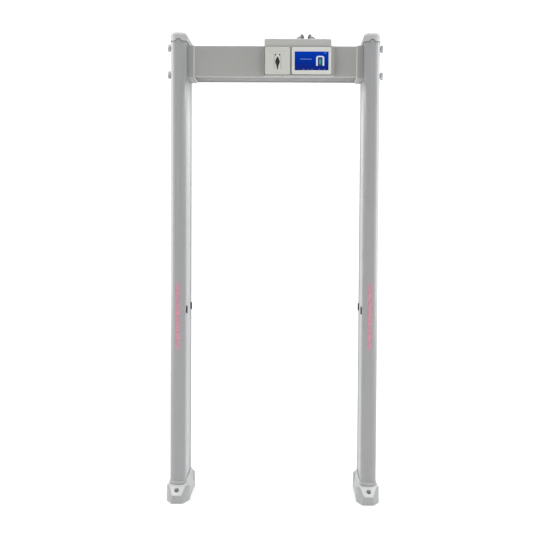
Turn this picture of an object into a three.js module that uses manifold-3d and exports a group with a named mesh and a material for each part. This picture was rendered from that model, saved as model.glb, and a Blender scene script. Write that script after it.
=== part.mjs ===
// A walk-through security gate: two tall columns on moulded feet, joined at the top by a box beam that
// carries the control unit. Units are millimetres, +Z is up and -Y is the side the visitor walks up to.
// The origin is on the floor, midway between the columns.
import * as THREE from "three";
import { ConvexGeometry } from "three/addons/geometries/ConvexGeometry.js";
import { mergeVertices } from "three/addons/utils/BufferGeometryUtils.js";
import Module from "manifold-3d";

const wasm = await Module();
wasm.setup();

// ---- Driving dimensions ----
const PASSAGE_WIDTH = 830; // clear width between the columns
const COLUMN_WIDTH = 74; // across a column, and the diameter of its rounded front and back
const COLUMN_STRAIGHT = 300; // depth of a column between its two rounded ends
const COLUMN_TOP = 2186; // top of the extrusions, under the cap
const CAP_BOTTOM = 2166;
const CAP_TOP = 2208;
const POST_BACK = 95; // |y| of the flat back of each post
const WALL = 2.5; // wall of the aluminium extrusions
const GAP = 0.4; // between neighbouring pieces
const POCKET_FLOOR = 12; // the columns stand on this floor inside the feet
const COLLAR_TOP = 93; // top of the foot's collar
const BEAM = { halfDepth: 120, bottom: 2006, top: 2152, lip: 20, sheet: 2 };
const SCREW = { y: 110, low: 2013.5, high: 2139.5, radius: 4.7, hole: 5.3 };
const SENSOR = { front: 137, rear: 114, z: 907, width: 26, height: 37, proud: 4.5 };
const WINDOW_HALF = 10.7; // half width of the light strip in a column's nose
const UNIT = { left: -55, right: 276.5, front: -165, back: -120.4, bottom: 2007, top: 2147 };
const DOOR = { left: -48, right: 69.5, bottom: 2013, top: 2141, front: -169, back: -161 };
const HINGE = { x: -50.8, y: -166.7, radius: 1.5, pin: 0.6, bore: 0.8 };
const DISPLAY = { left: 77, right: 263, bottom: 2014, top: 2141 };
const SCREEN = { left: 91, right: 249, bottom: 2033, top: 2120.5 };
const HOOD = { left: -51, right: 262.5, front: -162, rear: 60, top: 2181, wall: 2.5 };
const LOCK = { x: 40, y: -150 };
const KEY = { size: 14, x: 10, z: 2100, pitch: 22 };
const KEYPAD = { front: -142, back: -139 };
const PLUG = { left: 127, right: 161, y: -20, z: 2212, slope: 0.5, length: 32 };
const GLAND = { left: 38.9, right: 249.1, y: 84.7, top: 2160.5 };
const CABLE_RADIUS = 3;

const COLUMN_RADIUS = COLUMN_WIDTH / 2;
const COLUMN_X = PASSAGE_WIDTH / 2 + COLUMN_RADIUS; // centre of a column
const NOSE_Y = COLUMN_STRAIGHT / 2; // centre of the rounded ends

// ---- Materials ----
const finish = (color, roughness, metalness) => new THREE.MeshStandardMaterial({ color, roughness, metalness });
const silver = finish(0xb4b5b3, 0.42, 0.35);
const paleGrey = finish(0xc4c5bf, 0.5, 0);
const midGrey = finish(0x8f908d, 0.55, 0);
const charcoal = finish(0x4a4c4d, 0.5, 0);
const smoked = finish(0x9a9b9b, 0.25, 0);
const black = finish(0x151617, 0.2, 0);
const screenBlue = finish(0x0b3aa8, 0.15, 0);
const steel = finish(0x9d9fa1, 0.3, 1);
const boardGreen = finish(0x1d5a3a, 0.5, 0);
const copper = finish(0xa0623a, 0.4, 0.9);

const gate = new THREE.Group();

// Adds one named piece to the gate and gives back its mesh.
function add(name, geometry, material) {
  const mesh = new THREE.Mesh(geometry, material);
  mesh.name = name;
  gate.add(mesh);
  return mesh;
}

// ---- Solids ----
// A closed geometry as a manifold-3d solid, for joining and cutting.
function solid(geometry) {
  const bare = new THREE.BufferGeometry().setAttribute("position", geometry.getAttribute("position"));
  if (geometry.index) bare.setIndex(geometry.index);
  const merged = mergeVertices(bare, 1e-4);
  const vertProperties = merged.attributes.position.array;
  const triVerts = new Uint32Array(merged.index.array);
  return new wasm.Manifold(new wasm.Mesh({ numProp: 3, vertProperties, triVerts }));
}

// A manifold-3d solid as a three.js geometry.
function geometryOf(shape) {
  const mesh = shape.getMesh();
  const geometry = new THREE.BufferGeometry();
  geometry.setAttribute("position", new THREE.BufferAttribute(new Float32Array(mesh.vertProperties), 3));
  geometry.setIndex(new THREE.BufferAttribute(new Uint32Array(mesh.triVerts), 1));
  geometry.computeVertexNormals();
  return geometry;
}

// base with every solid in more joined to it and every solid in less cut away.
function combine(base, more = [], less = []) {
  let shape = solid(base);
  for (const piece of more) shape = shape.add(solid(piece));
  for (const piece of less) shape = shape.subtract(solid(piece));
  return geometryOf(shape);
}

function box(x0, x1, y0, y1, z0, z1) {
  const geometry = new THREE.BoxGeometry(x1 - x0, y1 - y0, z1 - z0);
  return geometry.translate((x0 + x1) / 2, (y0 + y1) / 2, (z0 + z1) / 2);
}

// A shape's outline and holes as plain points, without the doubled ones where a line meets an arc.
function plain(shape, divisions) {
  const single = (points) => points.filter((p, i) => p.distanceTo(points.at(i - 1)) > 1e-3);
  const points = shape.extractPoints(divisions);
  if (THREE.ShapeUtils.isClockWise(points.shape)) points.shape.reverse();
  const flat = new THREE.Shape(single(points.shape));
  flat.holes = points.holes.map((hole) => new THREE.Path(single(hole)));
  return flat;
}

// Extrusions of a flat outline along each axis. The outline is drawn in (x, y), (y, z) or (x, z).
function extrudeZ(shape, z0, z1, divisions = 8) {
  const geometry = new THREE.ExtrudeGeometry(plain(shape, divisions), { depth: z1 - z0, bevelEnabled: false });
  return geometry.translate(0, 0, z0);
}

function extrudeX(shape, x0, x1, divisions = 4) {
  const turn = new THREE.Matrix4().set(0, 0, 1, 0, 1, 0, 0, 0, 0, 1, 0, 0, 0, 0, 0, 1);
  return extrudeZ(shape, x0, x1, divisions).applyMatrix4(turn);
}

function extrudeY(shape, y0, y1, divisions = 4) {
  const turn = new THREE.Matrix4().set(1, 0, 0, 0, 0, 0, -1, 0, 0, 1, 0, 0, 0, 0, 0, 1);
  return extrudeZ(shape, -y1, -y0, divisions).applyMatrix4(turn);
}

// A round bar along Z from z0 to z1, centred on (x, y).
function rod(x, y, z0, z1, radius, sides = 16) {
  const geometry = new THREE.CylinderGeometry(radius, radius, z1 - z0, sides);
  return geometry.rotateX(Math.PI / 2).translate(x, y, (z0 + z1) / 2);
}

// A round bar along X from x0 to x1, centred on (y, z).
function rodX(x0, x1, y, z, radius, sides = 16) {
  const geometry = new THREE.CylinderGeometry(radius, radius, x1 - x0, sides);
  return geometry.rotateZ(-Math.PI / 2).translate((x0 + x1) / 2, y, z);
}

function polygon(points) {
  return new THREE.Shape(points.map(([a, b]) => new THREE.Vector2(a, b)));
}

function roundedRect(a0, a1, b0, b1, r) {
  const shape = new THREE.Shape();
  shape.moveTo(a0 + r, b0);
  shape.lineTo(a1 - r, b0);
  shape.absarc(a1 - r, b0 + r, r, -Math.PI / 2, 0);
  shape.lineTo(a1, b1 - r);
  shape.absarc(a1 - r, b1 - r, r, 0, Math.PI / 2);
  shape.lineTo(a0 + r, b1);
  shape.absarc(a0 + r, b1 - r, r, Math.PI / 2, Math.PI);
  shape.lineTo(a0, b0 + r);
  shape.absarc(a0 + r, b0 + r, r, Math.PI, 1.5 * Math.PI);
  return shape;
}

// The plan of a column: straight sides and a half-round nose at each end, around (x, 0).
function stadium(x, radius) {
  const shape = new THREE.Shape();
  shape.moveTo(x + radius, -NOSE_Y);
  shape.lineTo(x + radius, NOSE_Y);
  shape.absarc(x, NOSE_Y, radius, 0, Math.PI);
  shape.lineTo(x - radius, -NOSE_Y);
  shape.absarc(x, -NOSE_Y, radius, Math.PI, 2 * Math.PI);
  return shape;
}

// A closed skin through rings that all have the same number of points.
function loft(rings) {
  const count = rings[0].length;
  const positions = rings.flat().flatMap((p) => p.toArray());
  const index = [];
  for (let k = 0; k < rings.length - 1; k++)
    for (let i = 0; i < count; i++) {
      const a = k * count + i;
      const b = k * count + ((i + 1) % count);
      index.push(a, b, b + count, a, b + count, a + count);
    }
  const last = (rings.length - 1) * count;
  for (let i = 1; i < count - 1; i++) {
    index.push(0, i + 1, i);
    index.push(last, last + i, last + i + 1);
  }
  const geometry = new THREE.BufferGeometry();
  geometry.setAttribute("position", new THREE.Float32BufferAttribute(positions, 3));
  return geometry.setIndex(index);
}

// ---- Columns ----
// Plan of a post: half-round nose and a flat back, hollow. front is -1 for the front post, 1 for the rear.
function postPlan(x, front) {
  const outer = new THREE.Shape();
  const inner = new THREE.Path();
  const trace = (path, radius, back) => {
    path.moveTo(x + radius, front * back);
    path.lineTo(x + radius, front * NOSE_Y);
    path.absarc(x, front * NOSE_Y, radius, 0, front * Math.PI, front < 0);
    path.lineTo(x - radius, front * back);
  };
  trace(outer, COLUMN_RADIUS, POST_BACK);
  trace(inner, COLUMN_RADIUS - WALL, POST_BACK + WALL);
  outer.holes.push(inner);
  return outer;
}

// Where a beam sensor sits along the column's flat inner face.
function sensorY(front) {
  return front < 0 ? -SENSOR.front : SENSOR.rear;
}

function post(side, front, name) {
  const x = side * COLUMN_X;
  const inward = x - side * COLUMN_RADIUS;
  const body = extrudeZ(postPlan(x, front), POCKET_FLOOR + GAP, COLUMN_TOP, 12);
  const y = sensorY(front);
  const lensHole = roundedRect(
    y - SENSOR.width / 2 - GAP,
    y + SENSOR.width / 2 + GAP,
    SENSOR.z - SENSOR.height / 2 - GAP,
    SENSOR.z + SENSOR.height / 2 + GAP,
    SENSOR.width / 2,
  );
  const cuts = [extrudeX(lensHole, inward - 5, inward + 5)];
  for (const z of [SCREW.low, SCREW.high])
    cuts.push(rodX(x - COLUMN_WIDTH, x + COLUMN_WIDTH, front * SCREW.y, z, SCREW.hole));
  if (front < 0) {
    const slot = WINDOW_HALF + 0.3;
    cuts.push(box(x - slot, x + slot, -NOSE_Y - COLUMN_WIDTH, -NOSE_Y - COLUMN_RADIUS / 2, 0, COLUMN_TOP + 10));
  }
  add(name, combine(body, [], cuts), silver);
}

// The translucent strip that fills the slot in the front post's nose, flush with it.
function lightStrip(side, name) {
  const x = side * COLUMN_X;
  const plan = new THREE.Shape();
  const outer = COLUMN_RADIUS;
  const inner = COLUMN_RADIUS - WALL;
  const outerAngle = Math.asin(WINDOW_HALF / outer);
  const innerAngle = Math.asin(WINDOW_HALF / inner);
  plan.absarc(x, -NOSE_Y, outer, -Math.PI / 2 - outerAngle, -Math.PI / 2 + outerAngle, false);
  plan.absarc(x, -NOSE_Y, inner, -Math.PI / 2 + innerAngle, -Math.PI / 2 - innerAngle, true);
  add(name, extrudeZ(plan, POCKET_FLOOR + GAP, COLUMN_TOP, 5), smoked);
}

function sensor(side, front, name) {
  const y = sensorY(front);
  const outline = roundedRect(
    y - SENSOR.width / 2,
    y + SENSOR.width / 2,
    SENSOR.z - SENSOR.height / 2,
    SENSOR.z + SENSOR.height / 2,
    SENSOR.width / 2 - 0.5,
  );
  const face = side * (PASSAGE_WIDTH / 2 - SENSOR.proud);
  const back = side * (PASSAGE_WIDTH / 2 + 10);
  add(name, extrudeX(outline, Math.min(face, back), Math.max(face, back)), black);
}

// A winding on its former: a flat frame standing in the column, with cross bars between its zones.
function coil(side, zones, name) {
  const half = 84;
  const bottom = 70;
  const top = 1985;
  const band = 14;
  const outline = roundedRect(-half, half, bottom, top, 20);
  const pitch = (top - bottom - band) / zones;
  for (let k = 0; k < zones; k++) {
    const low = bottom + band + k * pitch;
    outline.holes.push(roundedRect(-half + band, half - band, low, low + pitch - band, 8));
  }
  const near = side * (COLUMN_X - 22);
  const far = side * (COLUMN_X - 14);
  add(name, extrudeX(outline, Math.min(near, far), Math.max(near, far), 3), copper);
}

// A push-on cap: a sleeve round the column's top with a rounded crown and a pull notch at each nose.
function cap(side, name) {
  const x = side * COLUMN_X;
  const sleeve = COLUMN_RADIUS + GAP + 2;
  const crown = 18;
  const ring = (inset, z) =>
    plain(stadium(x, sleeve - inset), 10)
      .getPoints()
      .map((p) => new THREE.Vector3(p.x, p.y, z));
  const rings = [ring(0, CAP_BOTTOM)];
  for (let k = 0; k <= 3; k++) {
    const a = (k / 3) * (Math.PI / 2);
    rings.push(ring(crown * (1 - Math.cos(a)), CAP_TOP - crown * (1 - Math.sin(a))));
  }
  const inside = extrudeZ(stadium(x, COLUMN_RADIUS + GAP), CAP_BOTTOM - 5, COLUMN_TOP + 1, 10);
  const notch = polygon([
    [x - 16, CAP_BOTTOM - 5],
    [x + 16, CAP_BOTTOM - 5],
    [x + 16, CAP_BOTTOM],
    [x + 6, CAP_BOTTOM + 10],
    [x - 6, CAP_BOTTOM + 10],
    [x - 16, CAP_BOTTOM],
  ]);
  add(name, combine(loft(rings), [], [inside, extrudeY(notch, -260, 260)]), paleGrey);
}

// A moulded foot: a low faceted body under the column, a higher shouldered toe block at each end, a
// collar round the column and two upright anchor holes, each with a counterbore.
function foot(side, name) {
  const x = side * COLUMN_X;
  const at = (out, y, z) => new THREE.Vector3(x + side * out, y, z);
  const body = [];
  const blocks = [];
  for (const end of [-1, 1]) {
    body.push(at(49.5, end * 172, 0), at(-55.5, end * 160, 0));
    body.push(at(49.5, end * 160, 26), at(-55.5, end * 150, 26));
    body.push(at(42, end * 150, 88), at(-43, end * 150, 88));
    const block = [at(24, end * 245, 0), at(-31, end * 245, 0), at(-56, end * 168, 0), at(50, end * 183, 0)];
    block.push(at(19, end * 244, 38), at(-23, end * 244, 38));
    block.push(at(37, end * 192.5, 77), at(-41, end * 192.5, 77));
    block.push(at(50, end * 174, 75), at(-56, end * 165, 71));
    block.push(at(42, end * 140, 86), at(-43, end * 140, 86));
    block.push(at(50, end * 122, 45), at(-56, end * 116, 45), at(50, end * 112, 0), at(-56, end * 106, 0));
    blocks.push(new ConvexGeometry(block));
  }
  const collar = extrudeZ(stadium(x, COLUMN_RADIUS + GAP + 3.6), 60, COLLAR_TOP, 10);
  const pocket = extrudeZ(stadium(x, COLUMN_RADIUS + GAP), POCKET_FLOOR, COLLAR_TOP + 10, 12);
  const cuts = [pocket];
  for (const end of [-1, 1]) {
    cuts.push(rod(x, end * 217, -5, 90, 7));
    cuts.push(rod(x, end * 217, 30, 90, 11));
  }
  add(name, combine(new ConvexGeometry(body), [...blocks, collar], cuts), paleGrey);
}

// A five-lobed hand knob moulded on its clamping screw. It is built along local +Z, which points away
// from the column, with local z = 0 on the column's side.
function knob(side, front, z, name) {
  const lobes = 5;
  const points = [];
  for (let i = 0; i < lobes * 6; i++) {
    const a = (i / (lobes * 6)) * 2 * Math.PI;
    const r = 16.6 + 2.9 * Math.cos(lobes * a);
    points.push([r * Math.cos(a), r * Math.sin(a)]);
  }
  const head = new THREE.ExtrudeGeometry(polygon(points), {
    depth: 9,
    bevelThickness: 2,
    bevelSize: 2,
    bevelOffset: -2,
    bevelSegments: 1,
  }).translate(0, 0, 8);
  const hub = rod(0, 0, 1, 9, 12, 18);
  const screw = rod(0, 0, -(COLUMN_WIDTH + 14), 2, SCREW.radius, 12);
  const mesh = add(name, combine(head, [hub, screw]), charcoal);
  mesh.position.set(side * (COLUMN_X + COLUMN_RADIUS), front * SCREW.y, z);
  mesh.rotation.y = (side * Math.PI) / 2;
}

function column(side, label) {
  const x = side * COLUMN_X;
  const skin = COLUMN_RADIUS - 1.5; // the flat panels sit a little behind the posts' faces
  const panel = (sign) => {
    const a = x + sign * skin;
    const b = x + sign * (skin - 2);
    return box(Math.min(a, b), Math.max(a, b), -POST_BACK + 0.5, POST_BACK - 0.5, POCKET_FLOOR + GAP, COLUMN_TOP);
  };
  post(side, -1, `front_post_${label}`);
  post(side, 1, `rear_post_${label}`);
  add(`inner_panel_${label}`, panel(-side), silver);
  add(`outer_panel_${label}`, panel(side), silver);
  lightStrip(side, `light_strip_${label}`);
  add(`led_board_${label}`, box(x - 9, x + 9, -181, -179.4, 700, 1065), boardGreen);
  sensor(side, -1, `beam_sensor_front_${label}`);
  sensor(side, 1, `beam_sensor_rear_${label}`);
  coil(side, side < 0 ? 1 : 6, side < 0 ? "transmit_coil" : "receive_coil");
  cap(side, `top_cap_${label}`);
  foot(side, `foot_${label}`);
  knob(side, -1, SCREW.high, `knob_${label}_front_upper`);
  knob(side, -1, SCREW.low, `knob_${label}_front_lower`);
  knob(side, 1, SCREW.high, `knob_${label}_rear_upper`);
  knob(side, 1, SCREW.low, `knob_${label}_rear_lower`);
}

// ---- Beam ----
// The socket that holds a beam end against the column, with a chamfered rim towards the passage.
function endBracket(side, label) {
  const wallX = PASSAGE_WIDTH / 2 - 0.3;
  const shoulder = 394;
  const rim = 385;
  const proud = 4.5;
  const ring = (x, grow) => {
    const y = BEAM.halfDepth + grow;
    const outline = roundedRect(-y, y, BEAM.bottom - grow, BEAM.top + grow, proud + 2);
    return plain(outline, 4)
      .getPoints()
      .map((p) => new THREE.Vector3(side * x, p.x, p.y));
  };
  const rings = [ring(rim, 1.2), ring(shoulder, proud), ring(wallX, proud)];
  if (side < 0) rings.reverse();
  const seat = box(
    side > 0 ? 380 : -(shoulder + 1.9),
    side > 0 ? shoulder + 1.9 : -380,
    -BEAM.halfDepth - GAP,
    BEAM.halfDepth + GAP,
    BEAM.bottom - GAP,
    BEAM.top + GAP,
  );
  const cuts = [seat];
  for (const y of [-SCREW.y, SCREW.y])
    for (const z of [SCREW.low, SCREW.high]) {
      const a = side * 400;
      const b = side * 430;
      cuts.push(rodX(Math.min(a, b), Math.max(a, b), y, z, SCREW.hole));
    }
  add(`beam_bracket_${label}`, combine(loft(rings), [], cuts), midGrey);
}

function beam() {
  const half = 395.5;
  const { halfDepth, bottom, top, lip, sheet } = BEAM;
  const hem = 6;
  const profile = (sign) =>
    polygon([
      [sign * halfDepth, bottom],
      [sign * (halfDepth - lip), bottom],
      [sign * (halfDepth - lip), bottom + hem],
      [sign * (halfDepth - lip + sheet), bottom + hem],
      [sign * (halfDepth - lip + sheet), bottom + sheet],
      [sign * (halfDepth - sheet), bottom + sheet],
      [sign * (halfDepth - sheet), top - sheet],
      [sign * (halfDepth - lip), top - sheet],
      [sign * (halfDepth - lip), top],
      [sign * halfDepth, top],
    ]);
  add("beam_front_fascia", extrudeX(profile(-1), -half, half), silver);
  const inletHole = extrudeY(roundedRect(185.5, 214.5, 2067.5, 2088.5, 3), 100, 140);
  add("beam_rear_fascia", combine(extrudeX(profile(1), -half, half), [], [inletHole]), silver);
  const reach = halfDepth - lip - GAP;
  const gland = (x) => {
    const cone = new THREE.CylinderGeometry(5, 9, GLAND.top - top + 1, 16).rotateX(Math.PI / 2);
    return cone.translate(x, GLAND.y, (GLAND.top + top - 1) / 2);
  };
  const cover = box(-half, half, -reach, reach, top - sheet, top);
  add("beam_top_cover", combine(cover, [gland(GLAND.left), gland(GLAND.right)]), silver);
  add("beam_bottom_cover", box(-half, half, -reach, reach, bottom + 3.5, bottom + 5.5), silver);
  const flange = extrudeY(roundedRect(181, 219, 2064, 2092, 4), 120.3, 123);
  const shell = extrudeY(roundedRect(186, 214, 2068, 2088, 3), 90, 122);
  const mouth = extrudeY(roundedRect(189, 211, 2071, 2085, 2), 98, 130);
  const pins = [193.5, 200, 206.5].map((x) => box(x - 1, x + 1, 97, 117, 2076, 2080));
  add("power_inlet", combine(combine(flange, [shell], [mouth]), pins), charcoal);
}

// ---- Control unit ----
const KNUCKLES = {
  frame: [
    [2014, 2029.6],
    [2055.4, 2098.6],
    [2124.4, 2140],
  ],
  door: [
    [2030, 2055],
    [2099, 2124],
  ],
};

function frontFrame() {
  const outline = roundedRect(UNIT.left, UNIT.right, UNIT.bottom, UNIT.top, 8);
  outline.holes.push(roundedRect(DOOR.left - 1, DOOR.right + 1, DOOR.bottom - 1, DOOR.top + 1, 6));
  outline.holes.push(roundedRect(DISPLAY.left - 1, DISPLAY.right + 1, DISPLAY.bottom - 1, DISPLAY.top + 1, 6));
  const plate = extrudeY(outline, UNIT.front, -158.4);
  const knuckles = KNUCKLES.frame.flatMap(([a, b]) => [
    rod(HINGE.x, HINGE.y, a, b, HINGE.radius, 12),
    box(HINGE.x - 1.2, HINGE.x + 1.2, HINGE.y, UNIT.front + 0.5, a, b),
  ]);
  const bore = rod(HINGE.x, HINGE.y, DOOR.bottom - 5, DOOR.top + 5, HINGE.bore, 10);
  add("unit_front_frame", combine(plate, knuckles, [bore]), paleGrey);
  add("hinge_pin", rod(HINGE.x, HINGE.y, 2014, 2140, HINGE.pin, 10), steel);
}

// The service door: a shallow tray with hinge knuckles on its left edge and a catch for the lock's cam.
function serviceDoor() {
  const plate = extrudeY(roundedRect(DOOR.left, DOOR.right, DOOR.bottom, DOOR.top, 6), DOOR.front, DOOR.back);
  const hollow = extrudeY(
    roundedRect(DOOR.left + 3, DOOR.right - 3, DOOR.bottom + 3, DOOR.top - 3, 4),
    DOOR.front + 3,
    DOOR.back + 5,
  );
  const shell = combine(plate, [], [hollow]);
  const catchArm = box(50, 52, DOOR.front + 2, -144.5, 2016.5, 2022);
  const catchLip = box(44, 52, -146.5, -144.5, 2016.5, 2022);
  const knuckles = KNUCKLES.door.flatMap(([a, b]) => [
    rod(HINGE.x, HINGE.y, a, b, HINGE.radius, 12),
    box(HINGE.x, DOOR.left + 1, HINGE.y - 1.2, HINGE.y + 0.6, a, b),
  ]);
  const bore = rod(HINGE.x, HINGE.y, DOOR.bottom - 5, DOOR.top + 5, HINGE.bore, 10);
  add("service_door", combine(shell, [catchArm, catchLip, ...knuckles], [bore]), paleGrey);
}

function display() {
  const outline = roundedRect(DISPLAY.left, DISPLAY.right, DISPLAY.bottom, DISPLAY.top, 6);
  outline.holes.push(roundedRect(SCREEN.left, SCREEN.right, SCREEN.bottom, SCREEN.top, 1.5));
  add("display_bezel", extrudeY(outline, DOOR.front, -163), paleGrey);
  add("display_panel", box(87, 253, -162.6, -151, 2026, 2128), screenBlue);
}

function housing() {
  const outer = box(-52, 273.5, -158, UNIT.back, 2008, 2146.6);
  const inner = box(-49.5, 271, -170, UNIT.back - WALL, 2010.5, 2144.1);
  const lockHole = rod(LOCK.x, LOCK.y, 2000, 2014, 5.4, 20);
  add("unit_housing", combine(outer, [], [inner, lockHole]), paleGrey);

  const shell = extrudeZ(roundedRect(HOOD.left, HOOD.right, HOOD.front, HOOD.rear, 10), 2147.4, HOOD.top, 5);
  const wall = HOOD.wall;
  const cavity = extrudeZ(
    roundedRect(HOOD.left + wall, HOOD.right - wall, HOOD.front + wall, HOOD.rear - wall, 8),
    2140,
    HOOD.top - wall,
    4,
  );
  const beamSpace = box(-100, 300, -BEAM.halfDepth - GAP, 100, 2100, BEAM.top + GAP);
  add("unit_hood", combine(shell, [], [cavity, beamSpace]), paleGrey);
}

// A quarter-turn key lock in the floor of the housing. Its cam points to the front when it is open.
function keyLock() {
  const head = rod(LOCK.x, LOCK.y, 2003.2, 2007.6, 7, 20);
  const barrel = rod(LOCK.x, LOCK.y, 2007, 2013.5, 5, 16);
  const shaft = rod(LOCK.x, LOCK.y, 2013, 2021, 3, 12);
  const cam = box(LOCK.x - 3, LOCK.x + 3, LOCK.y - 8.6, LOCK.y, 2017.5, 2020.5);
  const keyway = box(LOCK.x - 0.7, LOCK.x + 0.7, LOCK.y - 3.4, LOCK.y + 3.4, 2000, 2006.5);
  add("lock_barrel", combine(head, [barrel, shaft, cam], [keyway]), steel);
}

const ROCKER = { x: -30, y: -140.5, z: 2042, halfWidth: 9, tilt: 0.14 };

function keypad() {
  const plate = roundedRect(-49.1, 70, 2010.9, 2143.7, 2);
  const keyHole = KEY.size / 2 + GAP;
  const keys = {
    key_up: [KEY.x, KEY.z + KEY.pitch],
    key_down: [KEY.x, KEY.z - KEY.pitch],
    key_left: [KEY.x - KEY.pitch, KEY.z],
    key_right: [KEY.x + KEY.pitch, KEY.z],
    key_ok: [KEY.x, KEY.z],
  };
  for (const [x, z] of Object.values(keys))
    plate.holes.push(roundedRect(x - keyHole, x + keyHole, z - keyHole, z + keyHole, 2));
  plate.holes.push(roundedRect(ROCKER.x - 10, ROCKER.x + 10, ROCKER.z - 15, ROCKER.z + 15, 1));
  add("keypad_plate", extrudeY(plate, KEYPAD.front, KEYPAD.back, 2), charcoal);

  const half = KEY.size / 2;
  for (const [name, [x, z]] of Object.entries(keys)) {
    const stem = extrudeY(roundedRect(x - half, x + half, z - half, z + half, 2), -147, KEYPAD.back + 0.6, 2);
    const flange = box(x - half - 2, x + half + 2, KEYPAD.back + 0.3, KEYPAD.back + 1.8, z - half - 2, z + half + 2);
    add(name, combine(stem, [flange]), midGrey);
  }

  const profile = polygon([
    [-5.5, -12],
    [-3.2, 0],
    [-5.5, 12],
    [4, 10],
    [5, 0],
    [4, -10],
  ]);
  const rocker = add("power_rocker", extrudeX(profile, -ROCKER.halfWidth, ROCKER.halfWidth), black);
  rocker.position.set(ROCKER.x, ROCKER.y, ROCKER.z);
  rocker.rotation.x = ROCKER.tilt;
}

function electronics() {
  add("main_board", box(-44, 266, -131, -129.4, 2014, 2140), boardGreen);
  add("power_supply", box(-35, 85, -15, 50, 2156, 2176), steel);
  add("backup_battery", box(100, 190, -15, 50, 2156, 2176), charcoal);
  add("alarm_sounder", rod(230, -138, 2156, 2168, 14, 20), black);
}

// ---- Column leads ----
// An angled plug: an upright base on the hood, and a barrel that slopes down towards side -1 or 1.
function plug(side, x, name) {
  const along = (from, to, r0, r1) => {
    const geometry = new THREE.CylinderGeometry(r1, r0, to - from, 18).translate(0, (from + to) / 2, 0);
    geometry.rotateZ(-side * (Math.PI / 2 + PLUG.slope)).rotateX(Math.PI / 2);
    return geometry.translate(x, PLUG.y, PLUG.z);
  };
  const ring = along(-4.5, 4.5, 11, 11);
  const barrel = along(2, 22, 8, 8);
  const relief = along(22, PLUG.length, 7, 4.2);
  const base = rod(x, PLUG.y, HOOD.top + 0.3, PLUG.z - 3, 8, 18);
  add(name, combine(ring, [barrel, relief, base]), charcoal);
}

// The lead from a plug: it sags onto the hood, turns towards the back and drops into the beam's gland.
function lead(side, x, name) {
  const along = (t) => new THREE.Vector3(
    x + side * t * Math.cos(PLUG.slope),
    PLUG.y,
    PLUG.z - t * Math.sin(PLUG.slope),
  );
  const tip = x + side * PLUG.length * Math.cos(PLUG.slope);
  const at = (out, y, z) => new THREE.Vector3(tip + side * out, y, z);
  const rest = HOOD.top + CABLE_RADIUS + 0.5;
  const path = new THREE.CatmullRomCurve3(
    [
      along(PLUG.length + 0.4),
      along(PLUG.length + 5),
      at(14, -19, rest + 4.5),
      at(24, -17, rest + 1),
      at(36, -9, rest),
      at(48, 4, rest),
      at(56, 22, rest),
      at(60, 44, rest),
      at(60, 62, rest - 0.2),
      at(60, 71.4, rest - 3),
      at(60, 79.4, rest - 9),
      at(60, 84, rest - 17),
      at(60, GLAND.y, GLAND.top + 3.4),
      at(60, GLAND.y, GLAND.top + 0.4),
    ],
    false,
    "centripetal",
  );
  const section = new THREE.Shape();
  section.absarc(0, 0, CABLE_RADIUS, 0, 2 * Math.PI);
  add(name, new THREE.ExtrudeGeometry(section, { extrudePath: path, steps: 36, curveSegments: 4 }), charcoal);
}

// ---- The gate ----
for (const [side, label] of [
  [-1, "left"],
  [1, "right"],
]) {
  column(side, label);
  endBracket(side, label);
}
beam();
frontFrame();
serviceDoor();
display();
housing();
keyLock();
keypad();
electronics();
plug(-1, PLUG.left, "lead_plug_left");
plug(1, PLUG.right, "lead_plug_right");
lead(-1, PLUG.left, "lead_left");
lead(1, PLUG.right, "lead_right");

export default gate;
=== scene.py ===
"""A walk-through security gate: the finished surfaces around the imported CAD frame, with a plain studio.

Lengths are in millimetres wherever a number is written, and the helpers turn them into metres."""
import math

import bmesh
import bpy
from mathutils import Matrix, Quaternion, Vector


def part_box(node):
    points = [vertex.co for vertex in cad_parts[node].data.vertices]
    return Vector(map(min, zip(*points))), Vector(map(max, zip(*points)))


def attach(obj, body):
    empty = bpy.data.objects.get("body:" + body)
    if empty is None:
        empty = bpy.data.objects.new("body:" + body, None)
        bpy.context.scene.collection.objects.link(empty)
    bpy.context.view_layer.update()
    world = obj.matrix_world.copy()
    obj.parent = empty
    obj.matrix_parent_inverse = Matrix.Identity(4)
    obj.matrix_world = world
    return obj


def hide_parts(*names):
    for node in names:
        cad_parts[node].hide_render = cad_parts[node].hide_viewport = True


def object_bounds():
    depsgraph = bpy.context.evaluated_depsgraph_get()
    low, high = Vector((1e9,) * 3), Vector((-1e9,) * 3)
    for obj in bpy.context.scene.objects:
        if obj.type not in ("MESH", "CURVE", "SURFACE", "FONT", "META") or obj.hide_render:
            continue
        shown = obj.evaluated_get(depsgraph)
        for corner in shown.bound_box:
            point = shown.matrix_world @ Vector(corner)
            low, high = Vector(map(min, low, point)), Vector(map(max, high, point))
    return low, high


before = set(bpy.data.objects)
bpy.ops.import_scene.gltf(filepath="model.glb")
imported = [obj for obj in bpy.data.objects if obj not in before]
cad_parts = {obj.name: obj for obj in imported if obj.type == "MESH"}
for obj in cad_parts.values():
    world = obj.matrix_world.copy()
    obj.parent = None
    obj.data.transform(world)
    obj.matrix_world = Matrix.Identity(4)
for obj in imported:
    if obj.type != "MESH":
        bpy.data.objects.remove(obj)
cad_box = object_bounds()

MM = 0.001
ROOT = "gate_frame"
SIDES = (("left", -1), ("right", 1))

# ---- Camera, fitted to the photo's view ----
CAMERA_AT = (92.5, -5876.7, 1336.8)
CAMERA_YAW, CAMERA_PITCH, CAMERA_ROLL = math.radians(-0.88), math.radians(-2.63), math.radians(0.33)
CAMERA_LENS = 79.44


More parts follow.
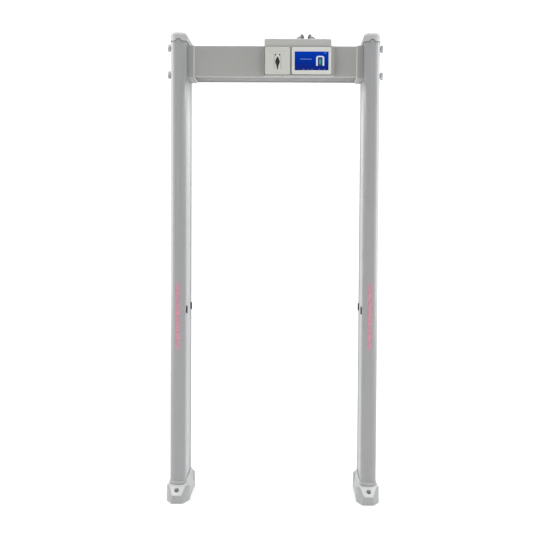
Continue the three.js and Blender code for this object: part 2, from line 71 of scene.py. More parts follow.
def make_camera():
    data = bpy.data.cameras.new("camera")
    data.lens = CAMERA_LENS
    data.sensor_width = 36
    camera = bpy.data.objects.new("camera", data)
    bpy.context.scene.collection.objects.link(camera)
    flat = math.cos(CAMERA_PITCH)
    ahead = Vector((math.sin(CAMERA_YAW) * flat, math.cos(CAMERA_YAW) * flat, math.sin(CAMERA_PITCH)))
    camera.location = Vector(CAMERA_AT) * MM
    camera.rotation_mode = "QUATERNION"
    camera.rotation_quaternion = ahead.to_track_quat("-Z", "Y") @ Quaternion((0, 0, 1), CAMERA_ROLL)
    bpy.context.scene.camera = camera


make_camera()


# ---- Sizes, read from the frame where it has them ----
def cad_span(node):
    """The CAD node's box in millimetres: x0, x1, y0, y1, z0, z1."""
    low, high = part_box(node)
    return tuple(value / MM for axis in range(3) for value in (low[axis], high[axis]))


POST = cad_span("front_post_right")
REAR_POST = cad_span("rear_post_right")
RADIUS = (POST[1] - POST[0]) / 2
COLUMN_X = (POST[0] + POST[1]) / 2
NOSE_Y = -POST[2] - RADIUS
POST_BACK = -POST[3]
REAR_BACK = REAR_POST[2]
COLUMN_LOW, COLUMN_HIGH = POST[4], POST[5]
WALL = 2.5
SLOT_HALF = 11.0
WINDOW_HALF = 10.7
ANCHOR_Y = 217
SCREW_Y = 110
SCREW_Z = {"upper": 2139.5, "lower": 2013.5}


# ---- Outlines: closed lists of 2D points ----
def arc(cx, cy, radius, start, end, steps):
    """Points on a circle, with the angles in degrees."""
    angles = [math.radians(start + (end - start) * k / steps) for k in range(steps + 1)]
    return [(cx + radius * math.cos(a), cy + radius * math.sin(a)) for a in angles]


def circle(cx, cy, radius, steps=32):
    return arc(cx, cy, radius, 0, 360, steps)[:-1]


def rounded_rect(a0, a1, b0, b1, r, steps=6):
    return (
        arc(a1 - r, b0 + r, r, -90, 0, steps)
        + arc(a1 - r, b1 - r, r, 0, 90, steps)
        + arc(a0 + r, b1 - r, r, 90, 180, steps)
        + arc(a0 + r, b0 + r, r, 180, 270, steps)
    )


def stadium(x, radius, steps=28):
    """The plan of a whole column."""
    return arc(x, NOSE_Y, radius, 0, 180, steps) + arc(x, -NOSE_Y, radius, 180, 360, steps)


def signed_area(points):
    return sum(a[0] * b[1] - b[0] * a[1] for a, b in zip(points, points[1:] + points[:1])) / 2


def turned_to(points, sign):
    """The outline run counter-clockwise for sign 1, clockwise for -1, without doubled points."""
    kept = [p for p, q in zip(points, points[-1:] + points[:-1]) if math.dist(p, q) > 1e-4]
    return kept if signed_area(kept) * sign > 0 else kept[::-1]


def inset(points, distance):
    """The outline moved to the left of its direction, which is into the material."""
    moved = []
    for before, here, after in zip(points[-1:] + points[:-1], points, points[1:] + points[:1]):
        a = Vector(here) - Vector(before)
        b = Vector(after) - Vector(here)
        na = Vector((-a.y, a.x)).normalized()
        nb = Vector((-b.y, b.x)).normalized()
        middle = (na + nb).normalized()
        moved.append(tuple(Vector(here) + middle * distance / max(middle.dot(na), 0.3)))
    return moved


# ---- Solids, in millimetres until they are finished ----
FLAT = Matrix.Identity(4)
FACING_FRONT = Matrix(((1, 0, 0, 0), (0, 0, -1, 0), (0, 1, 0, 0), (0, 0, 0, 1)))
ALONG_X = Matrix(((0, 0, 1, 0), (1, 0, 0, 0), (0, 1, 0, 0), (0, 0, 0, 1)))


def rim_levels(low, high, rim, steps):
    """(inset, height) pairs that round both ends of a wall."""
    if not rim:
        return [(0, low), (0, high)]
    quarter = [math.radians(90 * k / steps) for k in range(steps + 1)]
    levels = [(rim * (1 - math.sin(a)), low + rim * (1 - math.cos(a))) for a in quarter]
    return levels + [(rim * (1 - math.cos(a)), high - rim * (1 - math.sin(a))) for a in quarter]


def slab(outline, low, high, holes=(), rim=0.5, steps=3, turn=FLAT, hole_rim=None):
    """An outline raised from low to high, with holes through it and rounded rims."""
    bm = bmesh.new()
    hole_rim = rim if hole_rim is None else hole_rim
    contours = [(turned_to(outline, 1), rim)] + [(turned_to(hole, -1), hole_rim) for hole in holes]
    ends = ([], [])
    for contour, radius in contours:
        levels = rim_levels(low, high, radius, steps)
        rings = []
        for depth, z in levels:
            points = inset(contour, depth) if depth > 1e-6 else contour
            rings.append([bm.verts.new((x, y, z)) for x, y in points])
        bridge(bm, rings)
        for end, ring in zip(ends, (rings[0], rings[-1])):
            end += [bm.edges.get((a, b)) for a, b in zip(ring, ring[1:] + ring[:1])]
    for edges in ends:
        bmesh.ops.triangle_fill(bm, use_beauty=True, edges=edges)
    bm.transform(turn)
    return bm


def bridge(bm, rings, closed=False):
    """Quads between each ring and the next."""
    pairs = list(zip(rings, rings[1:]))
    if closed:
        pairs.append((rings[-1], rings[0]))
    for a, b in pairs:
        for k in range(len(a)):
            j = (k + 1) % len(a)
            bm.faces.new((a[k], a[j], b[j], b[k]))


def skin(rings, closed=False):
    """A surface through rings of 3D points; its ends are capped unless it closes on itself."""
    bm = bmesh.new()
    made = [[bm.verts.new(p) for p in ring] for ring in rings]
    bridge(bm, made, closed)
    if not closed:
        bm.faces.new(made[0])
        bm.faces.new(made[-1])
    return bm


def lathe(profile, steps=36, ridges=0, ridge=0.0):
    """A profile of (radius, height) turned about Z. Ridges ripple it round its circumference."""
    rings = []
    for radius, height in profile:
        angles = [2 * math.pi * k / steps for k in range(steps)]
        radii = [radius - ridge * (0.5 - 0.5 * math.cos(ridges * a)) for a in angles]
        rings.append([Vector((r * math.cos(a), r * math.sin(a), height)) for r, a in zip(radii, angles)])
    return skin(rings)


def rod(x, y, z0, z1, radius, rim=0.5, steps=24):
    return slab(circle(x, y, radius, steps), z0, z1, rim=rim)


def block(x0, x1, y0, y1, z0, z1, rim=0.5):
    return slab([(x0, y0), (x1, y0), (x1, y1), (x0, y1)], z0, z1, rim=rim, steps=2)


def joined(*parts):
    """Several solids in one bmesh."""
    whole = parts[0]
    for part in parts[1:]:
        mesh = bpy.data.meshes.new("part")
        part.to_mesh(mesh)
        part.free()
        whole.from_mesh(mesh)
        bpy.data.meshes.remove(mesh)
    return whole


def cut(base, *tools):
    """base with every tool taken out of it."""
    targets = []
    for bm in (base, *tools):
        bmesh.ops.recalc_face_normals(bm, faces=bm.faces)
        mesh = bpy.data.meshes.new("cut")
        bm.to_mesh(mesh)
        bm.free()
        obj = bpy.data.objects.new("cut", mesh)
        bpy.context.scene.collection.objects.link(obj)
        targets.append(obj)
    body = targets[0]
    for tool in targets[1:]:
        modifier = body.modifiers.new("cut", "BOOLEAN")
        modifier.operation = "DIFFERENCE"
        modifier.solver = "EXACT"
        modifier.object = tool
    bpy.context.view_layer.update()
    evaluated = body.evaluated_get(bpy.context.evaluated_depsgraph_get())
    result = bmesh.new()
    result.from_mesh(evaluated.to_mesh())
    for obj in targets:
        mesh = obj.data
        bpy.data.objects.remove(obj)
        bpy.data.meshes.remove(mesh)
    return result


def piece(name, bm, material, body=ROOT, stands_for=(), sharp=35):
    """Makes a finished object from a solid and ties it to its CAD body."""
    bmesh.ops.remove_doubles(bm, verts=bm.verts, dist=1e-3)
    bmesh.ops.recalc_face_normals(bm, faces=bm.faces)
    bm.transform(Matrix.Scale(MM, 4))
    mesh = bpy.data.meshes.new(name)
    bm.to_mesh(mesh)
    bm.free()
    mesh.shade_smooth()
    mesh.set_sharp_from_angle(angle=math.radians(sharp))
    mesh.materials.append(material)
    obj = bpy.data.objects.new(name, mesh)
    bpy.context.scene.collection.objects.link(obj)
    if stands_for:
        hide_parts(*stands_for)
    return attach(obj, body)


# ---- Materials ----
class Nodes:
    """A material being wired up."""

    def __init__(self, name):
        self.material = bpy.data.materials.new(name)
        self.material.use_nodes = True
        self.tree = self.material.node_tree
        self.shader = self.tree.nodes["Principled BSDF"]
        coordinates = self.tree.nodes.new("ShaderNodeTexCoord")
        self.place = coordinates.outputs["Object"]

    def add(self, kind, **values):
        node = self.tree.nodes.new(kind)
        for key, value in values.items():
            setattr(node, key, value)
        return node

    def link(self, output, socket):
        self.tree.links.new(output, socket)

    def noise(self, scale, detail=3.0, stretch=(1, 1, 1)):
        """Noise over the object, with scale in features per metre."""
        mapping = self.add("ShaderNodeMapping")
        mapping.inputs["Scale"].default_value = stretch
        self.link(self.place, mapping.inputs["Vector"])
        node = self.add("ShaderNodeTexNoise")
        node.inputs["Scale"].default_value = scale
        node.inputs["Detail"].default_value = detail
        self.link(mapping.outputs[0], node.inputs["Vector"])
        return node.outputs["Fac"]

    def mixed(self, factor, a, b):
        node = self.add("ShaderNodeMix", data_type="RGBA")
        self.link(factor, node.inputs["Factor"])
        for socket, value in ((node.inputs[6], a), (node.inputs[7], b)):
            if isinstance(value, tuple):
                socket.default_value = (*value, 1)
            else:
                self.link(value, socket)
        return node.outputs[2]

    def ranged(self, value, low, high, start=0.0, end=1.0):
        node = self.add("ShaderNodeMapRange")
        for socket, number in zip(("From Min", "From Max", "To Min", "To Max"), (start, end, low, high)):
            node.inputs[socket].default_value = number
        self.link(value, node.inputs["Value"])
        return node.outputs["Result"]

    def bump(self, height, strength, distance):
        node = self.add("ShaderNodeBump")
        node.inputs["Strength"].default_value = strength
        node.inputs["Distance"].default_value = distance * MM
        self.link(height, node.inputs["Height"])
        self.link(node.outputs["Normal"], self.shader.inputs["Normal"])


def surface(
    name, color, roughness=0.45, metal=0.0, grain=900, bump=0.12, mottle=0.05,
    stretch=(1, 1, 1), coat=0.0, specular=0.5,
):
    """A coated or moulded surface: fine grain, uneven gloss and a faint drift of tone."""
    n = Nodes(name)
    tone = n.noise(6, 4)
    darker = tuple(c * (1 - mottle) for c in color)
    lighter = tuple(min(c * (1 + mottle), 1) for c in color)
    n.link(n.mixed(tone, darker, lighter), n.shader.inputs["Base Color"])
    smudge = n.noise(23, 5)
    n.link(n.ranged(smudge, roughness - 0.06, roughness + 0.08, 0.3, 0.7), n.shader.inputs["Roughness"])
    n.bump(n.noise(grain, 2, stretch), bump, 0.06)
    n.shader.inputs["Metallic"].default_value = metal
    n.shader.inputs["Coat Weight"].default_value = coat
    n.shader.inputs["Specular IOR Level"].default_value = specular
    return n.material


def glowing(name, color, strength, backing=(0.02, 0.02, 0.02), dim=None, scale=300):
    """A lit mark on the screen or the light strip, brighter in some places than in others."""
    n = Nodes(name)
    n.shader.inputs["Base Color"].default_value = (*backing, 1)
    n.shader.inputs["Roughness"].default_value = 0.4
    patches = n.ranged(n.noise(scale, 1), 0, 1, 0.41, 0.59)
    n.link(n.mixed(patches, dim or tuple(c * 0.88 for c in color), color), n.shader.inputs["Emission Color"])
    n.shader.inputs["Emission Strength"].default_value = strength
    return n.material


def light_strip_material(low, high, glow, backing):
    """Smoked plastic over a row of lit signs: each glows softly through it."""
    n = Nodes("light_strip_plastic")
    plain = n.mixed(n.noise(8, 4), tuple(c * 0.96 for c in backing), backing)
    n.link(n.ranged(n.noise(40), 0.3, 0.42), n.shader.inputs["Roughness"])
    split = n.add("ShaderNodeSeparateXYZ")
    n.link(n.place, split.inputs[0])
    z = split.outputs["Z"]
    rise = n.ranged(z, 0, 1, low * MM, (low + 25) * MM)
    fall = n.ranged(z, 1, 0, (high - 25) * MM, high * MM)
    inside = n.add("ShaderNodeMath", operation="MULTIPLY")
    n.link(rise, inside.inputs[0])
    n.link(fall, inside.inputs[1])
    n.link(n.mixed(inside.outputs[0], plain, tuple(c * 0.76 for c in backing)), n.shader.inputs["Base Color"])
    patches = n.ranged(n.noise(70, 2), 0.35, 1.0, 0.35, 0.65)
    spread = n.add("ShaderNodeMath", operation="MULTIPLY")
    n.link(inside.outputs[0], spread.inputs[0])
    n.link(patches, spread.inputs[1])
    n.link(n.mixed(spread.outputs[0], (0, 0, 0), glow), n.shader.inputs["Emission Color"])
    n.shader.inputs["Emission Strength"].default_value = 1.0
    n.bump(n.noise(700, 2), 0.06, 0.05)
    return n.material


def screen_material(low, high):
    """The lit background of the screen, brighter at the top."""
    n = Nodes("screen_glass")
    split = n.add("ShaderNodeSeparateXYZ")
    n.link(n.place, split.inputs[0])
    height = n.ranged(split.outputs["Z"], 0, 1, low * MM, high * MM)
    n.link(n.mixed(height, (0.002, 0.012, 0.20), (0.0, 0.048, 0.50)), n.shader.inputs["Emission Color"])
    n.shader.inputs["Emission Strength"].default_value = 0.85
    n.shader.inputs["Base Color"].default_value = (0.002, 0.004, 0.01, 1)
    n.shader.inputs["Specular IOR Level"].default_value = 0.05
    n.link(n.ranged(n.noise(30), 0.1, 0.16), n.shader.inputs["Roughness"])
    return n.material


SILVER = surface("silver_paint", (0.42, 0.425, 0.43), 0.38, 0.1, 1500, 0.1, 0.03, (1, 1, 0.05))
BEAM_SILVER = surface("beam_paint", (0.44, 0.44, 0.425), 0.42, 0.1, 1500, 0.12, 0.03, (0.05, 1, 1))
# Painted shade: the beam's underside is coloured darker than the beam to stand for the shade under it.
UNDERSIDE_SHADE = surface("underside_painted_shade", (0.20, 0.205, 0.20), 0.5, 0, 1500, 0.12, 0.05)
PALE = surface("pale_moulding", (0.74, 0.75, 0.71), 0.5, 0, 1100, 0.2, 0.03)
CAP_GREY = surface("cap_moulding", (0.53, 0.53, 0.525), 0.5, 0, 1100, 0.2, 0.03)
HOOD_GREY = surface("hood_moulding", (0.515, 0.52, 0.50), 0.5, 0, 1100, 0.2, 0.03)
FRAME_GREY = surface("frame_moulding", (0.40, 0.40, 0.375), 0.45, 0, 1100, 0.2, 0.04)
COLLAR_GREY = surface("collar_moulding", (0.50, 0.50, 0.51), 0.5, 0, 1100, 0.2, 0.03)
# Painted shade for the gap under each cap's rim.
CAP_SEAM_SHADE = surface("seam_shadow", (0.17, 0.17, 0.17), 0.8, 0, 900, 0.1, 0.1, specular=0.1)
# Painted shade for the groove between each collar and its boot.
SEAM_SOFT_SHADE = surface("seam_soft_shade", (0.40, 0.40, 0.41), 0.8, 0, 900, 0.1, 0.1, specular=0.1)
KNUCKLE_GREY = surface("knuckle_moulding", (0.27, 0.27, 0.25), 0.6, 0, 900, 0.2, 0.05)
DOOR_GREY = surface("door_moulding", (0.65, 0.655, 0.61), 0.5, 0, 1100, 0.2, 0.03)
# Painted shade for the strip between the door and the display.
DIVIDER_SHADE = surface("divider_shade", (0.30, 0.30, 0.26), 0.6, 0, 900, 0.2, 0.05)
RING_GREY = surface("ring_moulding", (0.30, 0.30, 0.305), 0.4, 0, 900, 0.2, 0.1)
PANEL_SILVER = surface("panel_laminate", (0.50, 0.51, 0.50), 0.4, 0, 1500, 0.08, 0.03, (1, 1, 0.05))
FOOT_GREY = surface("foot_moulding", (0.43, 0.44, 0.44), 0.42, 0, 800, 0.3, 0.05, specular=0.95)
MID = surface("bracket_moulding", (0.37, 0.375, 0.37), 0.55, 0, 900, 0.2, 0.05)
CHARCOAL = surface("charcoal_moulding", (0.06, 0.062, 0.064), 0.5, 0, 900, 0.25, 0.1)
KNOB_GREY = surface("knob_moulding", (0.50, 0.51, 0.52), 0.5, 0, 900, 0.25, 0.08)
LENS_BLACK = surface("lens_black", (0.01, 0.01, 0.011), 0.7, 0, 600, 0.05, 0.1, specular=0.1)
RUBBER = surface("cable_rubber", (0.035, 0.036, 0.038), 0.6, 0, 1400, 0.2, 0.1)
GLOSS_BLACK = surface("gloss_black", (0.012, 0.012, 0.014), 0.15, 0, 300, 0.02, 0.1, coat=0.5)
STEEL = surface("satin_steel", (0.55, 0.55, 0.56), 0.32, 1, 1800, 0.12, 0.05)
LOCK_ZINC = surface("lock_zinc", (0.56, 0.56, 0.53), 0.4, 0.1, 1800, 0.12, 0.05)
BOARD = surface("board_lacquer", (0.02, 0.12, 0.06), 0.35, 0, 350, 0.2, 0.25)
COPPER = surface("enamelled_copper", (0.45, 0.17, 0.07), 0.35, 0.9, 1200, 0.3, 0.12, (1, 1, 0.04))
INK = surface("printed_ink", (0.015, 0.015, 0.016), 0.55, 0, 900, 0.1, 0.1)
WHITE_INK = surface("white_ink", (0.8, 0.8, 0.8), 0.5, 0, 900, 0.1, 0.05)


# ---- Columns ----
def post_outline(x):
    """The front post's plan: a wall round a half-round nose, with a slot at its front."""
    outer = math.degrees(math.asin(SLOT_HALF / RADIUS))
    inner = math.degrees(math.asin(SLOT_HALF / (RADIUS - WALL)))
    return (
        arc(x, -NOSE_Y, RADIUS, -90 + outer, 0, 24)
        + [(x + RADIUS, -POST_BACK), (x - RADIUS, -POST_BACK)]
        + arc(x, -NOSE_Y, RADIUS, 180, 270 - outer, 24)
        + arc(x, -NOSE_Y, RADIUS - WALL, 270 - inner, 180, 24)
        + [(x - RADIUS + WALL, -POST_BACK - WALL), (x + RADIUS - WALL, -POST_BACK - WALL)]
        + arc(x, -NOSE_Y, RADIUS - WALL, 0, -90 + inner, 24)
    )


def rear_outline(x, radius, back):
    return [(x - radius, back), (x + radius, back)] + arc(x, NOSE_Y, radius, 0, 180, 48)


def column_walls(label, side):
    x = side * COLUMN_X
    front = slab(post_outline(x), COLUMN_LOW, COLUMN_HIGH, rim=0)
    piece(f"post_front_{label}", front, SILVER, stands_for=[f"front_post_{label}"])
    hollow = rear_outline(x, RADIUS - WALL, REAR_BACK + WALL)
    rear = slab(rear_outline(x, RADIUS, REAR_BACK), COLUMN_LOW, COLUMN_HIGH, [hollow], rim=0)
    piece(f"post_rear_{label}", rear, SILVER, stands_for=[f"rear_post_{label}"])
    # The outer panels take the posts' darker silver instead of the panel laminate: painted shade that holds
    # down the soft boxes' light on them.
    for part, paint in (("inner", PANEL_SILVER), ("outer", SILVER)):
        x0, x1, y0, y1, z0, z1 = cad_span(f"{part}_panel_{label}")
        sheet = block(x0, x1, y0, y1, z0, z1, rim=0.6)
        piece(f"panel_{part}_{label}", sheet, paint, stands_for=[f"{part}_panel_{label}"])


# The row of lit signs: its span along Z, their number, and the grid that each sign's dots stand on.
SIGN_LOW, SIGN_HIGH = 722, 1040
SIGNS = 8
DOT_STEP, DOT_RISE, DOT_RADIUS = 3.6, 5.2, 1.45


def light_strip(label, side, plastic, ember):
    """The strip in the nose, and the lit dots of its signs: each sign is a chevron over a bar."""
    x = side * COLUMN_X
    half = math.degrees(math.asin(WINDOW_HALF / RADIUS))
    inner = math.degrees(math.asin(WINDOW_HALF / (RADIUS - WALL)))
    outline = arc(x, -NOSE_Y, RADIUS, -90 - half, -90 + half, 14)
    outline += arc(x, -NOSE_Y, RADIUS - WALL, -90 + inner, -90 - inner, 14)
    strip = slab(outline, COLUMN_LOW, COLUMN_HIGH, rim=0)
    piece(f"strip_{label}", strip, plastic, stands_for=[f"light_strip_{label}"])
    dots = bmesh.new()
    pitch = (SIGN_HIGH - SIGN_LOW) / SIGNS
    rows = (((-2, 2), 0), ((-1, 1), 1), ((0,), 2), ((-2, -1, 0, 1, 2), -2))
    for sign in range(SIGNS):
        middle = SIGN_LOW + (sign + 0.5) * pitch
        for columns, row in rows:
            for column in columns:
                turn = math.asin(column * DOT_STEP / RADIUS)
                place = Matrix.Translation((x, -NOSE_Y, middle + row * DOT_RISE))
                place = place @ Matrix.Rotation(turn, 4, "Z") @ FACING_FRONT
                dot = slab(circle(0, 0, DOT_RADIUS, 12), RADIUS - 0.3, RADIUS + 0.12, rim=0, turn=place)
                dots = joined(dots, dot)
    piece(f"sign_dots_{label}", dots, ember)


def sensor(label, end):
    node = f"beam_sensor_{end}_{label}"
    x0, x1, y0, y1, z0, z1 = cad_span(node)
    outline = rounded_rect(y0, y1, z0, z1, (y1 - y0) / 2 - 0.2, 12)
    lens = slab(outline, x0, x1, rim=1.1, steps=4, turn=ALONG_X)
    piece(f"sensor_{end}_{label}", lens, LENS_BLACK, stands_for=[node])


def cap(label, side):
    x = side * COLUMN_X
    x0, x1, _, _, z0, z1 = cad_span(f"top_cap_{label}")
    radius = (x1 - x0) / 2
    crown = 18
    wall = 2

    def notch(px):
        """How far the rim rises over the pull notch at each nose."""
        return 10 * min(max((15 - abs(px - x)) / 8, 0), 1)

    def ring(r, z, lifted=False):
        return [Vector((px, py, z + (notch(px) if lifted else 0))) for px, py in stadium(x, r, 48)]

    rings = [ring(radius - wall, z1 - crown), ring(radius - wall, z0 + 0.6, True)]
    rings += [ring(radius - wall + 0.5, z0, True), ring(radius - 0.6, z0, True)]
    rings += [ring(radius, z0 + 0.7, True)]
    rings += [ring(radius, z0 + 14)]
    for k in range(9):
        a = math.radians(90 * k / 8)
        rings.append(ring(radius - crown * (1 - math.cos(a)), z1 - crown * (1 - math.sin(a))))
    piece(f"cap_{label}", skin(rings), CAP_GREY, stands_for=[f"top_cap_{label}"])
    # A dark ring under the cap's rim: painted shade for the gap between the cap and the column.
    seam = [(radius - 1.4, 3), (radius - 0.1, 2.4), (radius - 0.1, -2.2), (radius - 1.4, -2.4)]
    rings = [ring(r, z0 + rise, True) for r, rise in seam]
    piece(f"cap_seam_shade_{label}", skin(rings, closed=True), CAP_SEAM_SHADE)


def hull(points):
    """The convex solid round some corners, with softened edges."""
    bm = bmesh.new()
    for point in points:
        bm.verts.new(point)
    made = bmesh.ops.convex_hull(bm, input=bm.verts)
    bmesh.ops.delete(bm, geom=[v for v in made["geom_interior"] if isinstance(v, bmesh.types.BMVert)])
    bmesh.ops.dissolve_limit(bm, angle_limit=math.radians(3), verts=bm.verts, edges=bm.edges)
    edges = [e for e in bm.edges if len(e.link_faces) == 2 and e.calc_face_angle() > math.radians(8)]
    bmesh.ops.bevel(bm, geom=edges, offset=2.2, segments=4, profile=0.5, affect="EDGES", clamp_overlap=True)
    return bm


def foot(label, side):
    """A low faceted body and a shouldered toe block at each end, with a collar and washers."""
    node = f"foot_{label}"
    x = side * COLUMN_X
    end_y = cad_span(node)[3]
    top = cad_span(node)[5]
    body = []
    solids = []
    for end in (-1, 1):
        body += [(49.5, end * 172, 0), (-55.5, end * 160, 0), (49.5, end * 160, 26), (-55.5, end * 150, 26),
                 (42, end * 150, 88), (-43, end * 150, 88)]
        block_corners = (
            (24, end_y, 0), (-31, end_y, 0), (-56, 168, 0), (50, 183, 0),
            (19, end_y - 1, 38), (-23, end_y - 1, 38), (37, 192.5, 77), (-41, 192.5, 77),
            (50, 174, 75), (-56, 165, 71), (42, 140, 86), (-43, 140, 86),
            (50, 122, 45), (-56, 116, 45), (50, 112, 0), (-56, 106, 0),
        )
        solids.append([(out, end * y, z) for out, y, z in block_corners])
    boots = []
    for corners in [body, *solids]:
        tools = [slab(stadium(x, RADIUS + 0.4), 12, 120, rim=0)]
        for end in (-1, 1):
            tools.append(rod(x, end * ANCHOR_Y, -5, 90, 7, rim=0))
            tools.append(rod(x, end * ANCHOR_Y, 30, 90, 11, rim=0, steps=32))
        boots.append(cut(hull([(x + side * out, y, z) for out, y, z in corners]), *tools))
    piece(f"boot_{label}", joined(*boots), FOOT_GREY, stands_for=[node], sharp=25)

    outer, inner = RADIUS + 4, RADIUS + 0.4
    profile = [(inner, 60), (outer, 60), (outer, top - 2.4)]
    profile += [(outer - 2.4 * (1 - math.cos(math.radians(a))), top - 2.4 * (1 - math.sin(math.radians(a))))
                for a in (22.5, 45, 67.5, 90)]
    profile += [(inner + 0.4, top), (inner, top - 0.4)]
    rings = [[Vector((px, py, z)) for px, py in stadium(x, r, 40)] for r, z in profile]
    piece(f"collar_{label}", skin(rings, closed=True), COLLAR_GREY)
    # A mid-grey ring just proud of the collar's foot: painted shade for the groove between the collar and the
    # boot.
    seam = [(outer - 1, 72), (outer + 0.5, 72), (outer + 0.5, 82.5), (outer - 1, 82.5)]
    rings = [[Vector((px, py, z)) for px, py in stadium(x, r, 40)] for r, z in seam]
    piece(f"collar_seam_shade_{label}", skin(rings, closed=True), SEAM_SOFT_SHADE)
    for end, word in ((-1, "front"), (1, "rear")):
        hole = circle(x, end * ANCHOR_Y, 6.6)
        washer = slab(circle(x, end * ANCHOR_Y, 10.6), 30.1, 32.2, [hole], rim=0.4)
        piece(f"washer_{word}_{label}", washer, STEEL)


def knob(label, side, end, level):
    """A five-lobed hand knob on its clamping screw."""
    node = f"knob_{label}_{end}_{level}"
    y = -SCREW_Y if end == "front" else SCREW_Y
    z = SCREW_Z[level]
    face = side * (COLUMN_X + RADIUS)
    steps = 100
    outline = []
    for k in range(steps):
        a = 2 * math.pi * k / steps
        reach = 16.4 + 2.7 * math.cos(5 * a)
        outline.append((reach * math.cos(a), reach * math.sin(a)))
    head = slab(outline, 6, 18, rim=2.6, steps=5)
    hub = lathe([(0.5, 1), (11, 1), (12, 1.8), (12, 5), (10, 7.5), (0.5, 8)])
    crown = lathe([(0.5, 17), (8.5, 17), (8.5, 18.2), (7.6, 18.9), (0.5, 18.9)])
    screw = lathe([(0.5, -88), (3.7, -88), (4.7, -87), (4.7, 2), (0.5, 2)], 24)
    whole = joined(head, hub, crown, screw)
    axis = Matrix.Rotation(side * math.pi / 2, 4, "Y")
    whole.transform(Matrix.Translation((face, y, z)) @ axis)
    piece(f"hand_{node}", whole, KNOB_GREY, node, [node])


# ---- Beam ----
BEAM = cad_span("beam_front_fascia")
BEAM_FRONT, BEAM_LOW, BEAM_HIGH = BEAM[2], BEAM[4], BEAM[5]
BEAM_LIP = 20
SHEET = 2


def fascia(sign):
    """A folded C-shaped sheet with a generous bend along its lower edge."""
    front = -BEAM_FRONT
    low_bend, high_bend, return_rise = 7, 3.5, 6
    outside = [(front - BEAM_LIP, BEAM_LOW)]
    outside += arc(front - low_bend, BEAM_LOW + low_bend, low_bend, -90, 0, 8)
    outside += arc(front - high_bend, BEAM_HIGH - high_bend, high_bend, 0, 90, 6)
    outside += [(front - BEAM_LIP, BEAM_HIGH)]
    inside = [(front - BEAM_LIP, BEAM_HIGH - SHEET)]
    inside += arc(front - high_bend, BEAM_HIGH - high_bend, high_bend - SHEET, 90, 0, 6)
    inside += arc(front - low_bend, BEAM_LOW + low_bend, low_bend - SHEET, 0, -90, 8)
    inside += [(front - BEAM_LIP + SHEET, BEAM_LOW + SHEET)]
    inside += [(y, BEAM_LOW + return_rise) for y in (front - BEAM_LIP + SHEET, front - BEAM_LIP)]
    return [(sign * y, z) for y, z in outside + inside]


def beam():
    for sign, word in ((-1, "front"), (1, "rear")):
        sheet = slab(fascia(sign), BEAM[0], BEAM[1], rim=0, turn=ALONG_X)
        if sign > 0:
            inlet_hole = block(185.5, 214.5, 100, 130, 2067.5, 2088.5, rim=0)
            sheet = cut(sheet, inlet_hole)
        piece(f"fascia_{word}", sheet, BEAM_SILVER, stands_for=[f"beam_{word}_fascia"])
    # The bottom cover takes the darker underside colour, which is painted shade under the beam.
    x0, x1, y0, y1, z0, z1 = cad_span("beam_bottom_cover")
    under = block(x0, x1, y0, y1, z0, z1, rim=0.5)
    piece("cover_bottom", under, UNDERSIDE_SHADE, stands_for=["beam_bottom_cover"])
    x0, x1, y0, y1, z0, _ = cad_span("beam_top_cover")
    over = block(x0, x1, y0, y1, z0, BEAM_HIGH, rim=0.5)
    piece("cover_top", over, BEAM_SILVER, stands_for=["beam_top_cover"])
    for label, x in (("left", GLAND_X[0]), ("right", GLAND_X[1])):
        profile = [(0.5, -1), (8.6, -1), (9, 0), (9, 3.4), (7, 4.4), (6.6, 7.2), (5, 8.4), (0.5, 8.4)]
        gland = lathe(profile)
        gland.transform(Matrix.Translation((x, GLAND_Y, BEAM_HIGH)))
        piece(f"gland_{label}", gland, CHARCOAL)


def bracket(label, side):
    """The socket round a beam end, with a chamfered lip towards the passage; the lip is pale, a painted
    highlight on the socket's edge.
    """
    x0, x1, y0, *_ = cad_span(f"beam_bracket_{label}")
    near, far = (x0, x1) if side > 0 else (x1, x0)
    front = -BEAM_FRONT
    proud = -y0 - front

    def ring(x, grow, radius):
        outline = rounded_rect(-front - grow, front + grow, BEAM_LOW - grow, BEAM_HIGH + grow, radius, 6)
        return [Vector((x, y, z)) for y, z in outline]

    shoulder = near + side * 9
    rings = [ring(far, proud, 6.5), ring(shoulder + side * 1.5, proud, 6.5)]
    rings += [ring(shoulder - side, proud - 0.6, 6), ring(near + side * 0.5, 1.4, 3)]
    rings += [ring(near, 1.0, 2.6), ring(near, 0.3, 2), ring(far, 0.3, 2)]
    piece(f"bracket_{label}", skin(rings, closed=True), MID, stands_for=[f"beam_bracket_{label}"])
    # The pale lip ring is a painted highlight along the bracket's edge by the passage.
    edge = near + side * 1.0
    rings = [ring(edge, 0.4, 2), ring(edge, 2.6, 4), ring(edge - side * 0.9, 3.2, 4.4)]
    rings += [ring(edge - side * 3.6, 3.2, 4.4), ring(edge - side * 4.5, 2.6, 4)]
    rings += [ring(edge - side * 4.5, 0.4, 2)]
    piece(f"bracket_lip_highlight_{label}", skin(rings, closed=True), PALE)


# ---- Control unit ----
UNIT = cad_span("unit_front_frame")
HINGE = cad_span("hinge_pin")
HINGE_X, HINGE_Y = (HINGE[0] + HINGE[1]) / 2, (HINGE[2] + HINGE[3]) / 2
# The closed door's spans.
DOOR_X = (-48, 69.5)
DOOR_Z = (2013, 2141)
DOOR_Y = (-169, -161)
BEZEL = cad_span("display_bezel")
# The bezel's window: x0, x1, z0, z1.
SCREEN = (91, 249, 2033, 2120.5)
FRAME_BACK = -158.4
FRAME_FRONT = -165
FRAME_KNUCKLES = ((2014, 2029.6), (2055.4, 2098.6), (2124.4, 2140))
DOOR_KNUCKLES = ((2030, 2055), (2099, 2124))
KNUCKLE = 1.5


def facing(outline, front, back, holes=(), rim=1.0, steps=4, hole_rim=None):
    """A slab whose outline is drawn in X and Z and which faces the visitor."""
    return slab(outline, -back, -front, holes, rim, steps, FACING_FRONT, hole_rim)


